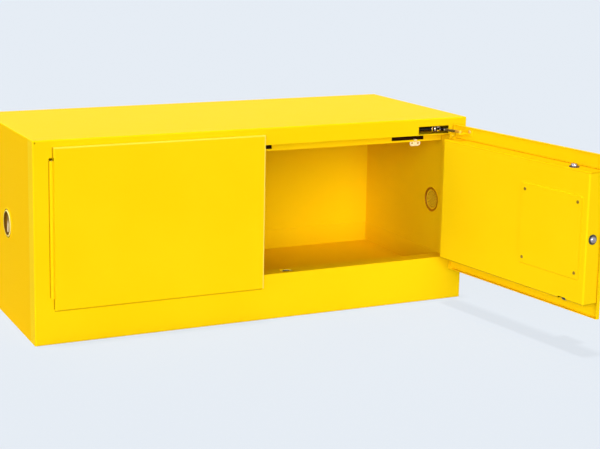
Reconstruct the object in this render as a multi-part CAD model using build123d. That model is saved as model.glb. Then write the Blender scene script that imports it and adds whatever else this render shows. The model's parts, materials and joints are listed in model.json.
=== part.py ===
from build123d import *
import os
from math import asin, cos, degrees, radians, sin

# Flammable safety cabinet, double walled, with two self-closing doors.
# Lengths are millimetres. Every place is first counted from the front, left, bottom corner of
# the cabinet: X to the right, Y to the back, Z up. export() then moves the origin to the middle
# of the base. The right door is built closed and swung to the angle it is stored at.

# Overall size
WIDTH = 1092.0
DEPTH = 457.0
HEIGHT = 457.0
SHEET = 1.2
AIR_GAP = 38.0
BEND = 3.0
PANEL_FLANGE = 12.0
FIT_GAP = 0.3
CLOSE_FIT = 0.1
CORNER_HOLE_R = 1.6
CORNER_HOLE_INSET = 5.0
HINGE_HOLE_WIDTH = 9.0
HINGE_HOLE_HEIGHT = 5.0

# Front frame and the opening in it
FRAME_DEPTH = 38.0
STILE = 46.0
SUMP_FLOOR = 57.0
SUMP_DEPTH = 51.0
SUPPORT_COUNT = 3
SUPPORT_WIDTH = 60.0
SUPPORT_FOOT = 15.0
SUPPORT_SHEET = 1.5
SUPPORT_END_GAP = 22.0

# Stop flange behind the top of the opening
STOP_SETBACK = 1.0
STOP_DROP = 21.0
STOP_LEG = 16.0
STOP_SLOT_HEIGHT = 10.0
STOP_SLOT_LOW = 4.5
LATCH_NOTCH_FROM_MIDDLE = 21.0
LATCH_NOTCH_LENGTH = 32.0
LINK_NOTCH_SHIFT = 22.0
LINK_NOTCH_LENGTH = 90.0

# Doors
DOOR_GAP = 3.0
PAN_DEPTH = 10.5
PAN_OFFSET = 1.5
PAN_LAP_LOW = 29.2
PAN_LAP_HIGH = 24.4
PAN_BEND = 1.6
PAN_RELIEF = 8.0
PAN_RELIEF_FROM_FRONT = 3.0
BOX_DEPTH = 36.0
BOX_GAP_LOW = 4.8
BOX_GAP_HIGH = 8.6
BOX_FREE_INSET = 4.5
BOX_HINGE_GAP = 8.0
BOX_BEND = 4.0
OPEN_ANGLE = 97.0

# Piano hinges
HINGE_X = 40.0
HINGE_Y = -4.5
HINGE_LAP_LOW = 3.2
HINGE_GAP_HIGH = 4.6
HINGE_KNUCKLES = 12
KNUCKLE_R = 4.0
KNUCKLE_GAP = 0.3
HINGE_PIN_R = 1.6
RUNNING_FIT = 0.05
FRAME_LEAF_DEPTH = 22.0
DOOR_LEAF_DEPTH = 7.0

# Door closers in the hollow top rail
SLOT_FROM_SIDE = 51.0
SLOT_LENGTH = 84.0
SLOT_BELOW_CLOSER = 10.5
SLOT_ABOVE_CLOSER = 8.5
CLOSER_Y = 14.0
CLOSER_ABOVE_RAIL = 11.7
TUBE_R = 10.0
TUBE_BORE_R = 8.4
TUBE_MOUTH_R = 5.6
TUBE_FROM_SIDE = 184.0
TUBE_LENGTH = 208.0
TUBE_CAP = 3.0
CLAMP_WIDTH = 20.0
CLAMP_INSET = 24.0
CLAMP_BACK_WALL = 4.0
CLAMP_TOP_WALL = 3.0
ROD_R = 4.0
ROD_LENGTH = 145.0
PISTON_R = 7.0
PISTON_LENGTH = 8.0
FORK_WIDTH = 12.0
FORK_EAR = 3.0
FORK_REACH = 20.0
FORK_THROAT = 9.0
FORK_GROOVES = 2
FORK_GROOVE = 2.4
FORK_RIB = 2.2
LINK_LENGTH = 70.0
LINK_WIDTH = 9.0
LINK_THICK = 5.0
LINK_PIN_R = 2.5
PIN_HEAD_R = 4.0
PIN_HEAD = 1.4
ARM_RADIUS = 49.5
ARM_ANGLE = 159.5
BRACKET_SHEET = 2.0
BRACKET_TAB = 3.0
BRACKET_HEIGHT = 19.0
BRACKET_WIDTH = 28.0
BRACKET_NEAR_END = 7.0
BRACKET_TAB_MARGIN = 1.5
BRACKET_BOLT_SHIFT = 11.6
BOLT_HEAD_R = 4.5
BOLT_HEAD = 3.0

# Vents through the side walls
LEFT_VENT_Y = 226.0
LEFT_VENT_Z = 230.0
RIGHT_VENT_Y = 82.0
RIGHT_VENT_Z = 237.0
VENT_BORE_R = 25.6
VENT_TUBE_R = 28.4
VENT_FLANGE_R = 37.0
VENT_FLANGE = 1.0
VENT_RING_WIDTH = 2.4
VENT_INNER_RING_HEIGHT = 2.4
VENT_OUTER_RING_HEIGHT = 1.4
VENT_INNER_FLANGE_R = 34.0
VENT_WALL_FIT = 0.3
SCREEN_DEPTH = 38.4
SCREEN_THICK = 1.5
SCREEN_HOLE_R = 2.4
SCREEN_PITCH = 6.4
SCREEN_RINGS = 3
PLUG_R = 25.0
PLUG_DEPTH = 1.0
PLUG_THICK = 8.0
PLUG_RIM = 3.5
PLUG_RECESS = 4.5
PLUG_BAR_WIDTH = 8.0
PLUG_BAR_HEIGHT = 5.5
PLUG_BAR_TILT = 12.0

# Three point latch in the right door
LATCH_FROM_MIDDLE = 71.0
BOLT_Y = 19.0
MIDDLE_BOLT_BELOW_HUB = 2.9
BOLT_R = 8.0
BOLT_DOME = 4.0
BOLT_BACKSET = 28.0
TOP_BOLT_CLEAR = 0.6
BOTTOM_BOLT_CLEAR = 0.6
MIDDLE_BOLT_CLEAR = 1.5
MIDDLE_BOLT_LENGTH = 26.0
BUSHING_R = 11.0
BUSHING_INSIDE = 14.0
MIDDLE_BUSHING_INSIDE = 6.0
TOP_BUSHING_PROUD = 2.2
LOW_BUSHING_PROUD = 2.0
BOLT_NOTCH_LENGTH = 24.0
BOLT_NOTCH_HEIGHT = 5.5
BOLT_NOTCH_DEPTH = 8.0
STRIKE_SLOT_LENGTH = 30.0
STRIKE_SLOT_WIDTH = 18.0
STRIKE_SLOT_CORNER = 6.0
STRIKE_HOLE_MARGIN = 1.0
STRIKE_SHEET = 2.0
STRIKE_LENGTH = 60.0
STRIKE_WIDTH = 30.0
EDGE_STRIKE_WIDTH = 26.0
HUB_ARM_R = 25.0
HUB_R = 12.0
HUB_ARM_WIDTH = 10.0
HUB_THICK = 3.0
HUB_Y = 22.0
HUB_PIN_R = 3.0
HUB_MIDDLE_R = 35.0
HUB_LEVER = 48.0
HUB_TAB_Y = 13.0
LATCH_ROD_THICK = 3.0
LATCH_ROD_WIDTH = 12.0
LATCH_ROD_HEAD = 20.0
LATCH_ROD_SLOT = 12.0
LATCH_ROD_FIT = 0.6
MIDDLE_ROD_LAP = 4.0
LATCH_ROD_GAP = 1.5
JOG_RISE = 40.0
CHASSIS_Y = 29.0
CHASSIS_SHEET = 2.0
CHASSIS_WIDTH = 136.0
CHASSIS_HEIGHT = 120.0
POST_R = 4.0
POST_INSET = 8.0
HUB_PIVOT_R = 4.0

# Recessed handle in the right door
HANDLE_FROM_LATCH = 43.0
CUP_WIDTH = 100.0
CUP_HEIGHT = 135.0
CUP_ABOVE_HUB = 37.1
CUP_DEPTH = 22.0
CUP_WALL = 1.5
CUP_RIM = 8.0
CUP_RIM_THICK = 1.5
PADDLE_WIDTH = 64.0
PADDLE_DROP = 74.0
PADDLE_RISE = 6.0
PADDLE_THICK = 5.0
PADDLE_BARREL_R = 5.5
PADDLE_PIN_R = 3.0
PADDLE_PIVOT_Y = -6.0
PADDLE_REST = 25.0
PADDLE_LIP = 6.0
TAIL_LENGTH = 31.0
TAIL_WIDTH = 10.0
TAIL_THICK = 4.0
TAIL_GAP = 1.5
TAIL_SLOT_WIDTH = 14.0
TAIL_SLOT_RISE = 6.0
TAIL_SLOT_DROP = 27.0
LOCK_R = 9.0
LOCK_PROUD = 8.0
LOCK_ABOVE_CUP_FLOOR = 17.0
KEYWAY_WIDTH = 2.0
KEYWAY_HEIGHT = 9.0
KEYWAY_DEPTH = 5.0
CAM_THICK = 2.0
CAM_LENGTH = 22.0
CAM_WIDTH = 10.0
TORSION_WIRE_R = 0.8
TORSION_TURNS = 4
TORSION_PITCH = 2.4
TORSION_FROM_PADDLE = 2.0

# Cover plate over the latch
COVER_FROM_LATCH = 46.0
COVER_BELOW_HUB = 2.4
COVER_WIDTH = 190.0
COVER_HEIGHT = 187.0
COVER_CORNER = 6.0
COVER_THICK = 2.6
COVER_CHAMFER = 2.2
COVER_LAP = 12.0
COVER_SCREW_INSET_X = 13.0
COVER_SCREW_INSET_Z = 15.0
SCREW_HEAD_R = 3.6
SCREW_HEAD = 1.3
SCREW_SHANK_R = 1.9
SCREW_LENGTH = 6.0
SCREW_SLOT = 0.9

# Fusible link at the stop flange
LINK_PLATE_LENGTH = 30.0
LINK_PLATE_HEIGHT = 14.0
LINK_PLATE_THICK = 1.6
LINK_PLATE_FROM_SIDE = 120.0
LINK_PLATE_HOLE_R = 2.4
LINK_PLATE_LAP = 3.0
HANGER_WIDTH = 8.0
HANGER_SHEET = 1.2
HANGER_DROP = 5.5

# Earthing stud on the right side
STUD_FROM_BACK = 47.0
STUD_Z = 62.0
STUD_R = 4.0
STUD_OUT = 24.0
STUD_IN = 12.0
WASHER_R = 9.0
WASHER = 1.6
NUT_ACROSS = 13.0
NUT = 6.5
WING_HUB_R = 7.0
WING_HUB = 8.0
WING_SPAN = 32.0
WING_HEIGHT = 13.0
WING_SHEET = 3.0
WING_START = 1.0
WING_CORNER = 4.3

TALL = HEIGHT * 2
OUTER_OFFSET = SHEET + AIR_GAP
LINER_TOP = HEIGHT - OUTER_OFFSET
OPENING_TOP = LINER_TOP - SHEET
SILL_TOP = SUMP_FLOOR + SHEET + SUMP_DEPTH
PAN_LOW = SILL_TOP - PAN_LAP_LOW
PAN_HIGH = OPENING_TOP + PAN_LAP_HIGH
BOX_LOW = SILL_TOP + BOX_GAP_LOW
BOX_HIGH = OPENING_TOP - BOX_GAP_HIGH
HINGE_LOW = SILL_TOP - HINGE_LAP_LOW
HINGE_HIGH = OPENING_TOP - HINGE_GAP_HIGH
LINER_BACK_IN = DEPTH - OUTER_OFFSET - SHEET
PAN_FRONT = -PAN_OFFSET - PAN_DEPTH
PAN_INSIDE = PAN_FRONT + SHEET
PAN_FREE = WIDTH / 2 + DOOR_GAP / 2
PAN_HINGE = WIDTH - HINGE_X - KNUCKLE_R - FIT_GAP - CLOSE_FIT
BOX_FREE = PAN_FREE + BOX_FREE_INSET
BOX_HINGE = WIDTH - STILE - BOX_HINGE_GAP
RIGHT_AXIS_X = WIDTH - HINGE_X
HUB_Z = (SILL_TOP + OPENING_TOP) / 2
MIDDLE_BOLT_Z = HUB_Z - MIDDLE_BOLT_BELOW_HUB
CUP_TOP = HUB_Z + CUP_ABOVE_HUB
COVER_Z = HUB_Z - COVER_BELOW_HUB
LATCH_X = WIDTH / 2 + LATCH_FROM_MIDDLE
HANDLE_X = LATCH_X + HANDLE_FROM_LATCH
COVER_X = LATCH_X + COVER_FROM_LATCH
LATCH_NOTCH_X = WIDTH / 2 + LATCH_NOTCH_FROM_MIDDLE
LINK_PLATE_X = WIDTH - LINK_PLATE_FROM_SIDE
LINK_NOTCH_X = LINK_PLATE_X - LINK_NOTCH_SHIFT
STUD_Y = DEPTH - STUD_FROM_BACK
CLOSER_Z = LINER_TOP + CLOSER_ABOVE_RAIL
SLOT_LOW = CLOSER_Z - SLOT_BELOW_CLOSER
SLOT_HIGH = CLOSER_Z + SLOT_ABOVE_CLOSER
FORK_GAP_LOW = CLOSER_Z - LINK_THICK / 2 - FIT_GAP
FORK_GAP_HIGH = CLOSER_Z + LINK_THICK / 2 + FIT_GAP


def block(x0, x1, y0, y1, z0, z1):
    """A box between two limits on each axis."""
    centre = Pos((x0 + x1) / 2, (y0 + y1) / 2, (z0 + z1) / 2)
    return centre * Box(x1 - x0, y1 - y0, z1 - z0)


def upright(x, y, z0, z1, radius):
    """A round bar along Z."""
    return Pos(x, y, (z0 + z1) / 2) * Cylinder(radius, z1 - z0)


def crossways(x0, x1, y, z, radius):
    """A round bar along X."""
    return Pos((x0 + x1) / 2, y, z) * Rot(0, 90, 0) * Cylinder(radius, x1 - x0)


def inward(x, y0, y1, z, radius):
    """A round bar along Y."""
    return Pos(x, (y0 + y1) / 2, z) * Rot(90, 0, 0) * Cylinder(radius, y1 - y0)


def mirrored(shape):
    """The same piece on the other side of the cabinet."""
    return mirror(shape, about=Plane(origin=(WIDTH / 2, 0, 0), z_dir=(1, 0, 0)))


def swung(shape, angle=OPEN_ANGLE):
    """A right door piece turned about the right hinge."""
    return shape.rotate(Axis((RIGHT_AXIS_X, HINGE_Y, 0), (0, 0, 1)), angle)


def export(name, shape):
    """Move a piece to the row's origin and write it."""
    export_step(Pos(-WIDTH / 2, -DEPTH / 2, 0) * shape, "parts/" + name + ".step")


def rounded_channel(x0, x1, y0, y1, z0, z1, radius, front):
    """A box with round top edges along Y, and round front edges when front is set."""
    body = block(x0, x1, y0, y1, z0, z1)
    edges = body.edges().filter_by(Axis.Y).group_by(Axis.Z)[-1]
    if front:
        edges = edges + body.edges().group_by(Axis.Y)[0]
    return fillet(edges, radius)


def outer_wrap():
    """Sides and top, bent from one sheet."""
    body = rounded_channel(0, WIDTH, FRAME_DEPTH, DEPTH, 0, HEIGHT, BEND, False)
    hollow = rounded_channel(
        SHEET, WIDTH - SHEET, -DEPTH, 2 * DEPTH, -HEIGHT, HEIGHT - SHEET, BEND - SHEET, False)
    body = body - hollow
    hole_r = VENT_TUBE_R + VENT_WALL_FIT
    body = body - crossways(-SHEET, AIR_GAP, LEFT_VENT_Y, LEFT_VENT_Z, hole_r)
    body = body - crossways(WIDTH - AIR_GAP, WIDTH + SHEET, RIGHT_VENT_Y, RIGHT_VENT_Z, hole_r)
    return body - crossways(WIDTH - AIR_GAP, WIDTH + SHEET, STUD_Y, STUD_Z, STUD_R + FIT_GAP)


def back_panel():
    """Back sheet with flanges folded forward inside the wrap."""
    front = DEPTH - PANEL_FLANGE
    body = rounded_channel(
        SHEET, WIDTH - SHEET, front, DEPTH, 0, HEIGHT - SHEET, BEND - SHEET, False)
    inner = 2 * SHEET
    return body - block(inner, WIDTH - inner, -DEPTH, DEPTH - SHEET, SHEET, HEIGHT - inner)


def base_panel():
    """Bottom sheet with flanges folded up against the sides."""
    back = DEPTH - PANEL_FLANGE
    body = block(SHEET, WIDTH - SHEET, FRAME_DEPTH, back, 0, PANEL_FLANGE)
    inner = 2 * SHEET
    return body - block(inner, WIDTH - inner, 0, DEPTH, SHEET, TALL)


def floor_supports():
    """Hat channels that carry the sump tray on the base."""
    supports = []
    y0 = FRAME_DEPTH + SUPPORT_END_GAP
    y1 = LINER_BACK_IN - SUPPORT_END_GAP
    for index in range(SUPPORT_COUNT):
        x = WIDTH * (index + 1) / (SUPPORT_COUNT + 1)
        half = SUPPORT_WIDTH / 2
        hat = block(x - half, x + half, y0, y1, SHEET, SUMP_FLOOR)
        inside = half - SUPPORT_SHEET
        hat = hat - block(x - inside, x + inside, 0, DEPTH, 0, SUMP_FLOOR - SUPPORT_SHEET)
        for side in (-1, 1):
            near = x + side * inside
            far = x + side * (half + SUPPORT_FOOT)
            foot = block(min(near, far), max(near, far), y0, y1, SHEET, SHEET + SUPPORT_SHEET)
            hat = hat + foot
        supports.append(hat)
    return Compound(supports)


def closer_slot():
    """The slot in the right half of the top rail that the closer works through."""
    x1 = WIDTH - SLOT_FROM_SIDE
    return block(x1 - SLOT_LENGTH, x1, -SHEET, SHEET * 2, SLOT_LOW, SLOT_HIGH)


def strike_slot(z0, z1):
    """The rounded slot that a bolt shoots into."""
    flat = Pos(LATCH_X, BOLT_Y) * RectangleRounded(
        STRIKE_SLOT_LENGTH, STRIKE_SLOT_WIDTH, STRIKE_SLOT_CORNER)
    return Pos(0, 0, z0) * extrude(flat, amount=z1 - z0)


def front_frame():
    """Hollow front frame: face, outer flanges, jamb, and relief holes at the left."""
    body = rounded_channel(0, WIDTH, 0, FRAME_DEPTH, 0, HEIGHT, BEND, True)
    body = body - rounded_channel(
        SHEET, WIDTH - SHEET, SHEET, DEPTH, SHEET, HEIGHT - SHEET, BEND - SHEET, True)
    left = STILE
    right = WIDTH - STILE
    wall_left = OUTER_OFFSET
    wall_right = WIDTH - OUTER_OFFSET
    body = body + block(
        left - SHEET, right + SHEET, 0, FRAME_DEPTH, SILL_TOP - SHEET, OPENING_TOP + SHEET)
    body = body + block(
        wall_left, wall_right, FRAME_DEPTH - SHEET, FRAME_DEPTH, SILL_TOP - SHEET, LINER_TOP)
    body = body - block(left, right, -SHEET, DEPTH, SILL_TOP, OPENING_TOP)
    body = body - closer_slot() - mirrored(closer_slot())
    body = body - inward(
        CORNER_HOLE_INSET, -SHEET, 2 * SHEET, HEIGHT - CORNER_HOLE_INSET, CORNER_HOLE_R)
    hole_x = STILE - SHEET - FIT_GAP
    body = body - block(
        hole_x - HINGE_HOLE_WIDTH, hole_x, -SHEET, 2 * SHEET, HINGE_HIGH,
        HINGE_HIGH + HINGE_HOLE_HEIGHT)
    body = body - strike_slot(SILL_TOP - 2 * SHEET, SILL_TOP + SHEET)
    return body - strike_slot(OPENING_TOP - SHEET, OPENING_TOP + 2 * SHEET)


def liner_wrap():
    """Inner side walls and ceiling."""
    wall_left = OUTER_OFFSET
    wall_right = WIDTH - OUTER_OFFSET
    body = rounded_channel(
        wall_left, wall_right, FRAME_DEPTH, LINER_BACK_IN, SUMP_FLOOR, LINER_TOP, BEND, False)
    body = body - rounded_channel(
        wall_left + SHEET, wall_right - SHEET, 0, DEPTH, 0, LINER_TOP - SHEET,
        BEND - SHEET, False)
    hole_r = VENT_TUBE_R + VENT_WALL_FIT
    body = body - crossways(0, 2 * OUTER_OFFSET, LEFT_VENT_Y, LEFT_VENT_Z, hole_r)
    return body - crossways(
        WIDTH - 2 * OUTER_OFFSET, WIDTH, RIGHT_VENT_Y, RIGHT_VENT_Z, hole_r)


def liner_back():
    """Inner back wall."""
    return block(
        OUTER_OFFSET, WIDTH - OUTER_OFFSET, LINER_BACK_IN, LINER_BACK_IN + SHEET,
        SUMP_FLOOR, LINER_TOP)


def sump_tray():
    """Leakproof tray that fills the bottom of the inside."""
    x0 = OUTER_OFFSET + SHEET
    x1 = WIDTH - x0
    body = block(x0, x1, FRAME_DEPTH, LINER_BACK_IN, SUMP_FLOOR, SILL_TOP)
    hollow = block(
        x0 + SHEET, x1 - SHEET, FRAME_DEPTH + SHEET, LINER_BACK_IN - SHEET,
        SUMP_FLOOR + SHEET, TALL)
    return body - fillet(hollow.edges().filter_by(Axis.Z), BEND)


def door_stop():
    """Channel behind the top of the opening, its front leg slotted for catch and link."""
    y0 = FRAME_DEPTH + STOP_SETBACK
    y1 = y0 + STOP_LEG
    low = OPENING_TOP - STOP_DROP
    body = block(STILE, WIDTH - STILE, y0, y0 + SHEET, low, OPENING_TOP)
    body = body + block(STILE, WIDTH - STILE, y0, y1, OPENING_TOP - SHEET, OPENING_TOP)
    body = body + block(STILE, WIDTH - STILE, y1 - SHEET, y1, low, OPENING_TOP)
    z0 = low + STOP_SLOT_LOW
    z1 = z0 + STOP_SLOT_HEIGHT
    for x, length in ((LATCH_NOTCH_X, LATCH_NOTCH_LENGTH), (LINK_NOTCH_X, LINK_NOTCH_LENGTH)):
        body = body - block(x - length / 2, x + length / 2, 0, y0 + 2 * SHEET, z0, z1)
    return body


def knuckle_spans(on_door):
    """Height limits of the knuckles that belong to one leaf."""
    pitch = (HINGE_HIGH - HINGE_LOW) / HINGE_KNUCKLES
    first = 1 if on_door else 0
    spans = []
    for index in range(first, HINGE_KNUCKLES, 2):
        z0 = HINGE_LOW + index * pitch + KNUCKLE_GAP / 2
        spans.append((z0, z0 + pitch - KNUCKLE_GAP))
    return spans


def with_knuckles(leaf, on_door):
    """Give a leaf its knuckles and clear the other leaf's ones out of it."""
    for z0, z1 in knuckle_spans(not on_door):
        room = upright(
            RIGHT_AXIS_X, HINGE_Y, z0 - KNUCKLE_GAP, z1 + KNUCKLE_GAP, KNUCKLE_R + FIT_GAP)
        leaf = leaf - room
    for z0, z1 in knuckle_spans(on_door):
        leaf = leaf + upright(RIGHT_AXIS_X, HINGE_Y, z0, z1, KNUCKLE_R)
    bore_r = HINGE_PIN_R + RUNNING_FIT
    return leaf - upright(RIGHT_AXIS_X, HINGE_Y, 0, TALL, bore_r)


def hinge_frame_leaf():
    """Leaf on the face and jamb of the right stile."""
    jamb = WIDTH - STILE
    leaf = block(jamb - SHEET, RIGHT_AXIS_X, -SHEET, 0, HINGE_LOW, HINGE_HIGH)
    leaf = leaf + block(
        jamb - SHEET, jamb, -SHEET, FRAME_LEAF_DEPTH, SILL_TOP + FIT_GAP, HINGE_HIGH)
    return with_knuckles(leaf, False)


def hinge_door_leaf():
    """Leaf welded to the hinge side of the door pan."""
    leaf = block(
        PAN_HINGE, PAN_HINGE + SHEET, HINGE_Y - DOOR_LEAF_DEPTH, HINGE_Y,
        HINGE_LOW, HINGE_HIGH)
    return with_knuckles(leaf, True)


def hinge_pin():
    """Pin through all knuckles of the right hinge."""
    return upright(RIGHT_AXIS_X, HINGE_Y, HINGE_LOW, HINGE_HIGH, HINGE_PIN_R)


def door_pan():
    """Outer sheet of a door, folded back all round and cut away above the hinge."""
    body = block(PAN_FREE, PAN_HINGE, PAN_FRONT, -PAN_OFFSET, PAN_LOW, PAN_HIGH)
    body = fillet(body.edges().group_by(Axis.Y)[0], PAN_BEND)
    hollow = block(
        PAN_FREE + SHEET, PAN_HINGE - SHEET, PAN_INSIDE, DEPTH,
        PAN_LOW + SHEET, PAN_HIGH - SHEET)
    relief = block(
        PAN_HINGE - SHEET, PAN_HINGE + SHEET, PAN_FRONT + PAN_RELIEF_FROM_FRONT, 0,
        HINGE_HIGH, HINGE_HIGH + PAN_RELIEF)
    return body - hollow - relief


def door_box():
    """Inner sheet of a door: a box with a flange that lies on the pan."""
    body = block(BOX_FREE, BOX_HINGE, PAN_INSIDE, BOX_DEPTH, BOX_LOW, BOX_HIGH)
    rear = body.edges().group_by(Axis.Y)[-1]
    body = fillet(rear, BOX_BEND)
    body = body + block(
        PAN_FREE + SHEET + FIT_GAP, PAN_HINGE - SHEET - FIT_GAP, PAN_INSIDE,
        PAN_INSIDE + SHEET, PAN_LOW + SHEET + FIT_GAP, PAN_HIGH - SHEET - FIT_GAP)
    hollow = block(
        BOX_FREE + SHEET, BOX_HINGE - SHEET, -DEPTH, BOX_DEPTH - SHEET,
        BOX_LOW + SHEET, BOX_HIGH - SHEET)
    rear = hollow.edges().group_by(Axis.Y)[-1]
    return body - fillet(rear, BOX_BEND - SHEET)


def left_box():
    """Inner sheet of the left door, with the hole that the middle bolt enters."""
    body = mirrored(door_box())
    edge = WIDTH - BOX_FREE
    return body - crossways(
        edge - 2 * SHEET, edge + SHEET, BOLT_Y, MIDDLE_BOLT_Z, BOLT_R + STRIKE_HOLE_MARGIN)


def edge_strike():
    """Strike plate inside the free edge of the left door."""
    edge = WIDTH - BOX_FREE - SHEET
    plate = block(
        edge - STRIKE_SHEET, edge, BOLT_Y - EDGE_STRIKE_WIDTH / 2,
        BOLT_Y + EDGE_STRIKE_WIDTH / 2,
        MIDDLE_BOLT_Z - STRIKE_LENGTH / 2, MIDDLE_BOLT_Z + STRIKE_LENGTH / 2)
    hole = crossways(
        edge - 2 * STRIKE_SHEET, edge + SHEET, BOLT_Y, MIDDLE_BOLT_Z,
        BOLT_R + STRIKE_HOLE_MARGIN)
    return plate - hole


def right_box():
    """Inner sheet of the right door, with bolt holes and the latch opening."""
    body = door_box() - block(
        LATCH_X - BOLT_NOTCH_LENGTH / 2, LATCH_X + BOLT_NOTCH_LENGTH / 2,
        BOX_DEPTH - BOLT_NOTCH_DEPTH, DEPTH, 0, BOX_LOW + BOLT_NOTCH_HEIGHT)
    hole_r = BUSHING_R + CLOSE_FIT
    body = body - upright(LATCH_X, BOLT_Y, BOX_HIGH - 2 * SHEET, BOX_HIGH + SHEET, hole_r)
    body = body - upright(LATCH_X, BOLT_Y, BOX_LOW - SHEET, BOX_LOW + 2 * SHEET, hole_r)
    body = body - crossways(
        BOX_FREE - SHEET, BOX_FREE + 2 * SHEET, BOLT_Y, MIDDLE_BOLT_Z, hole_r)
    half_width = COVER_WIDTH / 2 - COVER_LAP - COVER_SCREW_INSET_X
    half_height = COVER_HEIGHT / 2 - COVER_LAP - COVER_SCREW_INSET_Z
    body = body - block(
        COVER_X - half_width, COVER_X + half_width, BOX_DEPTH - 2 * SHEET, DEPTH,
        COVER_Z - half_height, COVER_Z + half_height)
    for x, z in cover_screw_places():
        body = body - inward(x, BOX_DEPTH - 2 * SHEET, DEPTH, z, SCREW_SHANK_R + CLOSE_FIT)
    return body


def right_pan():
    """Outer sheet of the right door, with the opening for the handle cup."""
    half = CUP_WIDTH / 2 + CLOSE_FIT
    return door_pan() - block(
        HANDLE_X - half, HANDLE_X + half, -DEPTH, 0,
        CUP_TOP - CUP_HEIGHT - CLOSE_FIT, CUP_TOP + CLOSE_FIT)


def cover_screw_places():
    """Centres of the four cover screws."""
    dx = COVER_WIDTH / 2 - COVER_SCREW_INSET_X
    dz = COVER_HEIGHT / 2 - COVER_SCREW_INSET_Z
    return [(COVER_X + sx * dx, COVER_Z + sz * dz) for sx in (-1, 1) for sz in (-1, 1)]


def cover_plate():
    """Plate over the latch on the inner face of the right door."""
    flat = Plane.XZ * Pos(COVER_X, COVER_Z) * RectangleRounded(
        COVER_WIDTH, COVER_HEIGHT, COVER_CORNER)
    plate = Pos(0, BOX_DEPTH + COVER_THICK, 0) * extrude(flat, amount=COVER_THICK)
    plate = chamfer(plate.edges().group_by(Axis.Y)[-1], COVER_CHAMFER)
    for x, z in cover_screw_places():
        plate = plate - inward(x, 0, DEPTH, z, SCREW_SHANK_R + CLOSE_FIT)
    return plate


def cover_screws():
    """Four slotted screws that hold the cover plate."""
    screws = []
    seat = BOX_DEPTH + COVER_THICK
    for x, z in cover_screw_places():
        screw = inward(x, seat, seat + SCREW_HEAD, z, SCREW_HEAD_R)
        screw = fillet(screw.edges().group_by(Axis.Y)[-1], SCREW_HEAD / 2)
        screw = screw + inward(x, seat - SCREW_LENGTH, seat + SCREW_HEAD / 2, z, SCREW_SHANK_R)
        screw = screw - block(
            x - SCREW_HEAD_R, x + SCREW_HEAD_R, seat + SCREW_HEAD / 2, DEPTH,
            z - SCREW_SLOT / 2, z + SCREW_SLOT / 2)
        screws.append(screw)
    return Compound(screws)


def arm_point(angle):
    """Centre of the bracket pin of the right door at an opening angle."""
    turn = radians(ARM_ANGLE + angle)
    return (RIGHT_AXIS_X + ARM_RADIUS * cos(turn), HINGE_Y + ARM_RADIUS * sin(turn))


def link_angle(angle):
    """Direction of the link from the bracket pin, in even steps between closed and open."""
    ends = []
    for place in (0.0, OPEN_ANGLE):
        rise = CLOSER_Y - arm_point(place)[1]
        ends.append(180 - degrees(asin(rise / LINK_LENGTH)))
    return ends[0] + (ends[1] - ends[0]) * angle / OPEN_ANGLE


def fork_point(angle):
    """Centre of the fork pin at an opening angle."""
    x, y = arm_point(angle)
    turn = radians(link_angle(angle))
    return (x + LINK_LENGTH * cos(turn), y + LINK_LENGTH * sin(turn))


def door_bracket():
    """Bracket on the right door with the tab and pin that drive the closer."""
    x, y = arm_point(0)
    seat = PAN_INSIDE + SHEET
    bolt_x = x - BRACKET_BOLT_SHIFT
    left = bolt_x - BRACKET_NEAR_END
    z0 = CLOSER_Z - BRACKET_HEIGHT / 2
    body = block(
        left, left + BRACKET_WIDTH, seat, seat + BRACKET_SHEET, z0, z0 + BRACKET_HEIGHT)
    tab_high = FORK_GAP_LOW
    half = PIN_HEAD_R + BRACKET_TAB_MARGIN
    body = body + block(x - half, x + half, seat, y, tab_high - BRACKET_TAB, tab_high)
    body = body + upright(x, y, tab_high - BRACKET_TAB, tab_high, half)
    body = body + upright(x, y, tab_high - BRACKET_TAB, FORK_GAP_HIGH + PIN_HEAD, LINK_PIN_R)
    body = body + upright(x, y, FORK_GAP_HIGH, FORK_GAP_HIGH + PIN_HEAD, PIN_HEAD_R)
    return body - inward(bolt_x, seat - SHEET, 0, CLOSER_Z, STUD_R)


def bracket_bolt():
    """Bolt that holds the bracket to the door."""
    seat = PAN_INSIDE + SHEET + BRACKET_SHEET
    x = arm_point(0)[0] - BRACKET_BOLT_SHIFT
    head = inward(x, seat, seat + BOLT_HEAD, CLOSER_Z, BOLT_HEAD_R)
    head = fillet(head.edges().group_by(Axis.Y)[-1], BOLT_HEAD / 2)
    return head + inward(
        x, seat - BRACKET_SHEET, seat + BOLT_HEAD / 2, CLOSER_Z, STUD_R - CLOSE_FIT)


def closer_link(angle):
    """Link between the bracket pin and the fork pin."""
    x0, y0 = arm_point(angle)
    x1, y1 = fork_point(angle)
    flat = Pos((x0 + x1) / 2, (y0 + y1) / 2) * Rot(0, 0, link_angle(angle)) * (
        SlotCenterToCenter(LINK_LENGTH, LINK_WIDTH))
    link = Pos(0, 0, CLOSER_Z - LINK_THICK / 2) * extrude(flat, amount=LINK_THICK)
    for x, y in ((x0, y0), (x1, y1)):
        link = link - upright(x, y, 0, TALL, LINK_PIN_R + RUNNING_FIT)
    return link


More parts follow.
